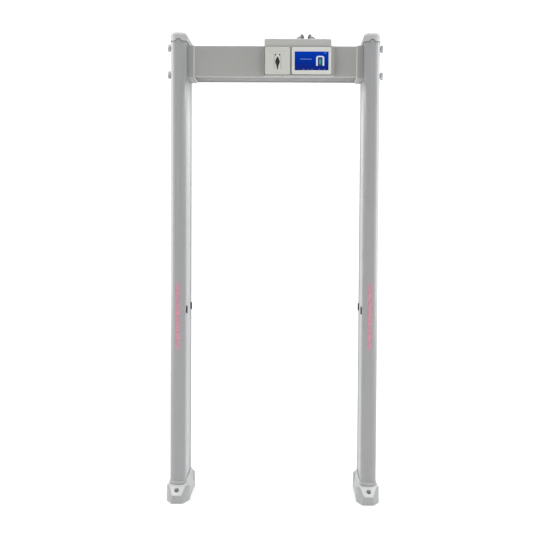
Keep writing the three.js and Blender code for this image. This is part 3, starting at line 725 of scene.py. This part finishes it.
def front_frame():
    door_hole = rounded_rect(DOOR_X[0] - 1, DOOR_X[1] + 1, DOOR_Z[0] - 1, DOOR_Z[1] + 1, 6)
    bezel_hole = rounded_rect(BEZEL[0] - 1, BEZEL[1] + 1, BEZEL[4] - 1, BEZEL[5] + 1, 6)
    outline = rounded_rect(UNIT[0], UNIT[1], UNIT[4], UNIT[5], 8, 8)
    plate = facing(outline, FRAME_FRONT, FRAME_BACK, (door_hole, bezel_hole), 3.0, 6, 0.8)
    piece("front_frame", plate, FRAME_GREY, stands_for=["unit_front_frame"])
    parts = []
    for z0, z1 in FRAME_KNUCKLES:
        parts.append(rod(HINGE_X, HINGE_Y, z0, z1, KNUCKLE, 0.3))
        parts.append(block(HINGE_X - 1.2, HINGE_X + 1.2, HINGE_Y, FRAME_FRONT + 0.5, z0, z1, 0.2))
    piece("frame_knuckles", joined(*parts), KNUCKLE_GREY)


def frame_divider():
    """The darker strip between the door and the display: painted shade between the two."""
    strip = rounded_rect(70.9, 75.6, 2013.5, 2140.5, 1)
    piece("frame_divider", facing(strip, FRAME_FRONT - 0.3, FRAME_FRONT + 1, rim=0.3), DIVIDER_SHADE)


def service_door():
    plate = facing(rounded_rect(*DOOR_X, *DOOR_Z, 6), DOOR_Y[0], DOOR_Y[1], rim=1.8)
    left, right, low, high = DOOR_X[0] + 3, DOOR_X[1] - 3, DOOR_Z[0] + 3, DOOR_Z[1] - 3
    hollow = block(left, right, DOOR_Y[0] + 3, DOOR_Y[1] + 5, low, high, 0)
    shell = cut(plate, hollow)
    arm = block(50, 52, DOOR_Y[0] + 2.8, -144.5, 2016.5, 2022, 0.3)
    tip = block(44, 50.4, -146.5, -144.5, 2016.5, 2022, 0.3)
    piece("door", joined(shell, arm, tip), DOOR_GREY, "service_door", ["service_door"])
    parts = []
    for z0, z1 in DOOR_KNUCKLES:
        parts.append(rod(HINGE_X, HINGE_Y, z0, z1, KNUCKLE, 0.3))
        parts.append(block(HINGE_X, DOOR_X[0] + 1, HINGE_Y - 1.2, HINGE_Y + 0.6, z0, z1, 0.2))
    piece("door_knuckles", joined(*parts), KNUCKLE_GREY, "service_door")


def door_marks():
    """A printed sign on the door: a walker between two upright lines."""
    y = DOOR_Y[0]
    middle = (DOOR_X[0] + DOOR_X[1]) / 2

    def mark(name, outline, ink, lift=0.12):
        piece(name, facing(outline, y - lift, y + 0.3, rim=0), ink, "service_door")

    for k, side in enumerate((-1, 1)):
        x = middle + side * 15.9
        post = [(x - 0.7, 2038), (x + 0.7, 2038), (x + 0.7, 2100), (x - 0.7, 2100)]
        mark(f"sign_post_{k}", post, MARK_GREY)
        x = middle + side * 9.8
        arrow = [(x - 4.2, 2108), (x + 4.2, 2108), (x + 1.2, 2100), (x - 1.2, 2100)]
        mark(f"sign_arrow_{k}", arrow, INK, 0.14)
    body = [(0, 2096), (4.5, 2090), (8, 2082), (11.3, 2072), (9.5, 2066), (6, 2058), (3.6, 2048), (2.2, 2037)]
    body += [(-x, z) for x, z in reversed(body[1:])]
    mark("sign_walker", [(middle + x, z) for x, z in body], INK)
    mark("sign_head", circle(middle, 2101, 4.6), WHITE_INK)
    left, right = middle - 44, middle + 44
    mark("sign_rule", [(left, 2119.6), (right, 2119.6), (right, 2121), (left, 2121)], RULE_GREY)


def display():
    window = rounded_rect(*SCREEN, 1.5, 3)
    outline = rounded_rect(BEZEL[0], BEZEL[1], BEZEL[4], BEZEL[5], 6)
    bezel = facing(outline, BEZEL[2], BEZEL[3], (window,), 1.6)
    piece("bezel", bezel, PALE, stands_for=["display_bezel"])
    x0, x1, y0, y1, z0, z1 = cad_span("display_panel")
    glass = block(x0, x1, y0, y1, z0, z1, 0.4)
    piece("screen", glass, screen_material(SCREEN[2], SCREEN[3]), stands_for=["display_panel"])
    screen_marks(y0)


def screen_marks(y):
    """A plain generic picture: a title line, a gate with an oval in it, and a row of soft keys."""

    def mark(name, outline, ink, lift=0.1):
        piece(f"lit_{name}", facing(outline, y - lift, y + 0.2, rim=0), ink)

    x0, x1, z0, z1 = SCREEN
    wide, tall = x1 - x0, z1 - z0

    def placed(points):
        """Points from fractions of the screen's width and height."""
        return [(x0 + a * wide, z0 + b * tall) for a, b in points]

    mark("title", placed(rect(0.16, 0.50, 0.585, 0.612)), PALE_BLUE)
    mark("gate", placed(arch(0.634, 0.874, 0.25, 0.775)), LAVENDER)
    mark("gate_shade", placed(rect(0.686, 0.822, 0.25, 0.70)), NAVY, 0.08)
    turns = [2 * math.pi * k / 24 for k in range(24)]
    figure = [(0.754 + 0.034 * math.cos(t), 0.46 + 0.155 * math.sin(t)) for t in turns]
    mark("walker", placed(figure), TEAL)
    mark("status", placed(rect(0.86, 0.93, 0.915, 0.94)), PALE_BLUE)
    for k, a in enumerate((0.255, 0.39, 0.505, 0.725, 0.87)):
        mark(f"soft_key_{k}", placed(rect(a, a + 0.024, 0.035, 0.075)), PALE_BLUE)


def arch(a0, a1, b0, b1):
    """An upside-down U in fractions of the screen, with rounded shoulders."""
    stroke_a, stroke_b, bend_a, bend_b = 0.05, 0.075, 0.07, 0.12
    turns = [math.radians(15 * k) for k in range(7)]
    outer = [(a1 - bend_a * (1 - math.cos(t)), b1 - bend_b * (1 - math.sin(t))) for t in turns]
    outer += [(a0 + bend_a * (1 - math.sin(t)), b1 - bend_b * (1 - math.cos(t))) for t in turns]
    inner = [(a0 + stroke_a, b1 - stroke_b), (a1 - stroke_a, b1 - stroke_b)]
    return [(a1, b0), *outer, (a0, b0), (a0 + stroke_a, b0), *inner, (a1 - stroke_a, b0)]


def rect(a0, a1, b0, b1):
    return [(a0, b0), (a1, b0), (a1, b1), (a0, b1)]


def hood():
    x0, x1, y0, y1, z0, z1 = cad_span("unit_hood")
    fillet = 6

    def ring(depth, z):
        outline = turned_to(rounded_rect(x0, x1, y0, y1, 10, 8), 1)
        return [Vector((x, y, z)) for x, y in (inset(outline, depth) if depth else outline)]

    rings = [ring(0.6, z0), ring(0, z0 + 0.6)]
    for k in range(7):
        a = math.radians(90 * k / 6)
        rings.append(ring(fillet * (1 - math.cos(a)), z1 - fillet * (1 - math.sin(a))))
    cavity = slab(rounded_rect(x0 + 3, x1 - 3, y0 + 3, y1 - 3, 7), z0 - 8, z1 - 3, rim=0)
    beam_space = block(x0 - 50, x1 + 50, BEAM_FRONT - 0.4, y1 + 50, z0 - 50, BEAM_HIGH + 0.4, 0)
    shell = cut(skin(rings), cavity, beam_space)
    piece("hood", shell, HOOD_GREY, stands_for=["unit_hood"])


KEY_NAMES = ("key_up", "key_down", "key_left", "key_right", "key_ok")


def keypad():
    holes = []
    for name in KEY_NAMES:
        x0, x1, y0, y1, z0, z1 = cad_span(name)
        rim = 1.6
        holes.append(rounded_rect(x0 + rim, x1 - rim, z0 + rim, z1 - rim, 2))
        cap_outline = rounded_rect(x0 + 2, x1 - 2, z0 + 2, z1 - 2, 2)
        key = joined(facing(cap_outline, y0, y1 - 1, rim=1.0), block(x0, x1, y1 - 1.5, y1, z0, z1, 0.2))
        piece(f"button_{name}", key, FRAME_GREY, name, [name])
        cx, cz = (x0 + x1) / 2, (z0 + z1) / 2
        turn = {"key_up": 90, "key_down": -90, "key_left": 180, "key_right": 0}.get(name)
        if turn is None:
            symbol = circle(0, 0, 2.6)
        else:
            corners = [math.radians(turn + a) for a in (0, 120, 240)]
            symbol = [(3.2 * math.cos(a), 3.2 * math.sin(a)) for a in corners]
        symbol = [(cx + a, cz + b) for a, b in symbol]
        piece(f"mark_{name}", facing(symbol, y0 - 0.1, y0 + 0.3, rim=0), WHITE_INK, name)
    x0, x1, y0, y1, z0, z1 = cad_span("keypad_plate")
    rocker = cad_span("power_rocker")
    cx, cz = (rocker[0] + rocker[1]) / 2, (rocker[4] + rocker[5]) / 2
    holes.append(rounded_rect(cx - 10, cx + 10, cz - 15, cz + 15, 1, 2))
    plate = facing(rounded_rect(x0, x1, z0, z1, 2), y0, y1, holes, 0.5)
    piece("key_plate", plate, CHARCOAL, stands_for=["keypad_plate"])


# ---- Leads ----
# Where each plug stands along X, and the way it leans.
PLUGS = {"left": (127, -1), "right": (161, 1)}
PLUG_Y, PLUG_Z, PLUG_SLOPE, PLUG_LENGTH = -20, 2212, 0.5, 32
GLAND_X, GLAND_Y, GLAND_TOP = (38.9, 249.1), 84.7, 2160.5
CABLE = 3


def plug(label):
    """An angled plug: an upright base, a ridged coupling ring, a bright barrel and a strain relief."""
    x, side = PLUGS[label]
    hood_top = cad_span("unit_hood")[5]
    lean = Matrix.Rotation(side * (math.pi / 2 + PLUG_SLOPE), 4, "Y")
    tilt = Matrix.Translation((x, PLUG_Y, PLUG_Z)) @ lean

    def along(profile, **ripple):
        part = lathe(profile, **ripple)
        part.transform(tilt)
        return part

    nut = [(0.5, -6.5), (8.6, -6.5), (10.6, -4.5), (10.6, 4.5), (8.6, 6.5), (0.5, 6.5)]
    ring = along(nut, steps=96, ridges=24, ridge=0.7)
    tail = [(0.5, 21), (7, 21), (7, 22.6), (6, 23.2), (6, 24.6), (5.6, 25.2)]
    tail += [(5.6, 26.8), (5, 27.4), (5, 29), (4.2, 32), (0.5, 32)]
    whole = joined(ring, along(tail))
    piece(f"plug_ring_{label}", whole, RING_GREY, stands_for=[f"lead_plug_{label}"])
    barrel = along([(0.5, 2), (8, 2), (8, 20), (7.2, 21.2), (0.5, 21.2)])
    base = rod(x, PLUG_Y, hood_top + 1.8, PLUG_Z - 3, 8)
    flange = rod(x, PLUG_Y, hood_top + 0.3, hood_top + 2.4, 10.5)
    piece(f"plug_barrel_{label}", joined(barrel, base, flange), STEEL)


def lead(label):
    x, side = PLUGS[label]
    tip = x + side * PLUG_LENGTH * math.cos(PLUG_SLOPE)
    rest = cad_span("unit_hood")[5] + CABLE + 0.5

    def along(t):
        return (x + side * t * math.cos(PLUG_SLOPE), PLUG_Y, PLUG_Z - t * math.sin(PLUG_SLOPE))

    route = [
        along(PLUG_LENGTH - 2),
        along(PLUG_LENGTH + 5),
        (tip + side * 14, -19, rest + 4.5),
        (tip + side * 24, -17, rest + 1),
        (tip + side * 36, -9, rest),
        (tip + side * 48, 4, rest),
        (tip + side * 56, 22, rest),
        (tip + side * 60, 44, rest),
        (tip + side * 60, 62, rest - 0.2),
        (tip + side * 60, 71.4, rest - 3),
        (tip + side * 60, 79.4, rest - 9),
        (tip + side * 60, 84, rest - 17),
        (tip + side * 60, GLAND_Y, GLAND_TOP + 3.4),
        (tip + side * 60, GLAND_Y, GLAND_TOP - 1.5),
    ]
    points = smooth_path([Vector(p) for p in route], 6)
    piece(f"cable_{label}", tube(points, CABLE), RUBBER, stands_for=[f"lead_{label}"])


def smooth_path(points, steps):
    """A curve through the points, with steps between each two."""
    padded = [points[0] * 2 - points[1]] + points + [points[-1] * 2 - points[-2]]
    curve = []
    for p0, p1, p2, p3 in zip(padded, padded[1:], padded[2:], padded[3:]):
        for k in range(steps):
            t = k / steps
            a, b, c = 2 * p1, p2 - p0, 2 * p0 - 5 * p1 + 4 * p2 - p3
            curve.append((a + b * t + c * t * t + (3 * p1 - p0 - 3 * p2 + p3) * t**3) / 2)
    return curve + [points[-1]]


def tube(points, radius, sides=16):
    """A round tube along a path, without twist."""
    rings = []
    across = Vector((0, 1, 0))
    for k, point in enumerate(points):
        ahead = (points[min(k + 1, len(points) - 1)] - points[max(k - 1, 0)]).normalized()
        across = (across - ahead * across.dot(ahead)).normalized()
        up = ahead.cross(across)
        angles = [2 * math.pi * j / sides for j in range(sides)]
        rings.append([point + (across * math.cos(a) + up * math.sin(a)) * radius for a in angles])
    return skin(rings)


# ---- CAD nodes that stay ----
KEPT = {
    "unit_housing": (FRAME_GREY, 0.8),
    "power_inlet": (CHARCOAL, 0.5),
    "hinge_pin": (STEEL, 0),
    "lock_barrel": (LOCK_ZINC, 0.3),
    "power_rocker": (GLOSS_BLACK, 0.6),
    "main_board": (BOARD, 0),
    "power_supply": (STEEL, 0.6),
    "backup_battery": (CHARCOAL, 0.8),
    "alarm_sounder": (GLOSS_BLACK, 0.6),
    "transmit_coil": (COPPER, 1),
    "receive_coil": (COPPER, 1),
    "led_board_left": (BOARD, 0),
    "led_board_right": (BOARD, 0),
}


def dress_kept_nodes():
    for name, (material, rim) in KEPT.items():
        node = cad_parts[name]
        node.data.materials.clear()
        node.data.materials.append(material)
        if rim:
            bevel = node.modifiers.new("rim", "BEVEL")
            bevel.width = rim * MM
            bevel.segments = 3
            bevel.limit_method = "ANGLE"
            bevel.angle_limit = math.radians(40)


# ---- Studio ----
# Where each part of the white surround starts and ends along its axis, and its strength at each end.
LIGHT_BEHIND = (0.25, 0.85, 0.05, 1.2)
LIGHT_SIDES = (0.8, 1.0, 0.0, 0.15)
LIGHT_ABOVE = (0.5, 1.0, 0.0, 3.3)
# Tall soft boxes outside the columns, in metres and watts.
SOFT_BOX = {"x": 1.25, "y": 0.05, "z": 1.7, "wide": 0.3, "tall": 1.8, "power": 8}
# A lamp under the beam that shines down the passage.
PASSAGE_LAMP = {"z": 1.98, "wide": 0.5, "tall": 0.2, "power": 2.2}


def studio():
    floor_mesh = bpy.data.meshes.new("floor")
    floor_bm = bmesh.new()
    bmesh.ops.create_grid(floor_bm, x_segments=1, y_segments=1, size=60)
    floor_bm.to_mesh(floor_mesh)
    floor_bm.free()
    paint = surface("floor_paint", (0.40, 0.40, 0.40), 0.8, 0, 40, 0.02, 0.01)
    lit = paint.node_tree.nodes["Principled BSDF"].inputs
    lit["Emission Color"].default_value = (1, 1, 1, 1)
    lit["Emission Strength"].default_value = 0.5
    floor_mesh.materials.append(paint)
    floor = bpy.data.objects.new("floor", floor_mesh)
    floor.location.z = cad_box[0].z
    bpy.context.scene.collection.objects.link(floor)

    world = bpy.data.worlds.new("studio")
    bpy.context.scene.world = world
    world.use_nodes = True
    tree = world.node_tree

    def math_node(operation, a, b):
        node = tree.nodes.new("ShaderNodeMath")
        node.operation = operation
        for socket, value in zip(node.inputs, (a, b)):
            if isinstance(value, (int, float)):
                socket.default_value = value
            else:
                tree.links.new(value, socket)
        return node.outputs[0]

    def eased(value, start, end, low, high):
        node = tree.nodes.new("ShaderNodeMapRange")
        node.interpolation_type = "SMOOTHSTEP"
        for socket, number in zip(("From Min", "From Max", "To Min", "To Max"), (start, end, low, high)):
            node.inputs[socket].default_value = number
        tree.links.new(value, node.inputs["Value"])
        return node.outputs["Result"]

    coordinates = tree.nodes.new("ShaderNodeTexCoord")
    split = tree.nodes.new("ShaderNodeSeparateXYZ")
    tree.links.new(coordinates.outputs["Generated"], split.inputs[0])
    x, y, z = split.outputs
    behind = eased(y, *LIGHT_BEHIND)
    sides = eased(math_node("ABSOLUTE", x, 0), *LIGHT_SIDES)
    above = eased(z, *LIGHT_ABOVE)
    total = math_node("ADD", math_node("ADD", behind, sides), above)
    tree.links.new(total, tree.nodes["Background"].inputs["Strength"])
    tree.nodes["Background"].inputs["Color"].default_value = (1, 1, 1, 1)
    bpy.context.scene.view_settings.view_transform = "Standard"

    for label, side in SIDES:
        place = (side * SOFT_BOX["x"], SOFT_BOX["y"], SOFT_BOX["z"])
        area_lamp(f"soft_box_{label}", SOFT_BOX, place, (side * COLUMN_X * MM, 0, SOFT_BOX["z"]))
    area_lamp("passage_lamp", PASSAGE_LAMP, (0, 0, PASSAGE_LAMP["z"]), (0, 0, 0))


def area_lamp(name, form, place, target):
    """A rectangular lamp that lights the object without being seen itself."""
    data = bpy.data.lights.new(name, "AREA")
    data.shape = "RECTANGLE"
    data.size = form["wide"]
    data.size_y = form["tall"]
    data.energy = form["power"]
    lamp = bpy.data.objects.new(name, data)
    lamp.location = place
    lamp.rotation_euler = (Vector(target) - Vector(place)).to_track_quat("-Z", "Y").to_euler()
    lamp.visible_camera = False
    bpy.context.scene.collection.objects.link(lamp)


LAVENDER = glowing("lit_lavender", (0.72, 0.78, 0.98), 0.9)
TEAL = glowing("lit_teal", (0.03, 0.36, 0.33), 0.8)
PALE_BLUE = glowing("lit_pale_blue", (0.25, 0.38, 0.80), 0.8)
NAVY = glowing("lit_navy", (0.003, 0.02, 0.12), 0.8)
EMBER = glowing("lit_sign", (0.84, 0.16, 0.28), 1.15, (0.3, 0.1, 0.15), (0.46, 0.15, 0.21), 34)
MARK_GREY = surface("grey_ink", (0.22, 0.22, 0.22), 0.5, 0, 900, 0.1, 0.05)
RULE_GREY = surface("rule_ink", (0.52, 0.52, 0.50), 0.5, 0, 900, 0.1, 0.05)
STRIP_PLASTIC = light_strip_material(SIGN_LOW - 6, SIGN_HIGH + 6, (0.34, 0.01, 0.08), (0.42, 0.425, 0.43))

for label, side in SIDES:
    column_walls(label, side)
    light_strip(label, side, STRIP_PLASTIC, EMBER)
    cap(label, side)
    foot(label, side)
    bracket(label, side)
    plug(label)
    lead(label)
    for end in ("front", "rear"):
        sensor(label, end)
        for level in ("upper", "lower"):
            knob(label, side, end, level)
beam()
front_frame()
frame_divider()
service_door()
door_marks()
display()
hood()
keypad()
dress_kept_nodes()
studio()
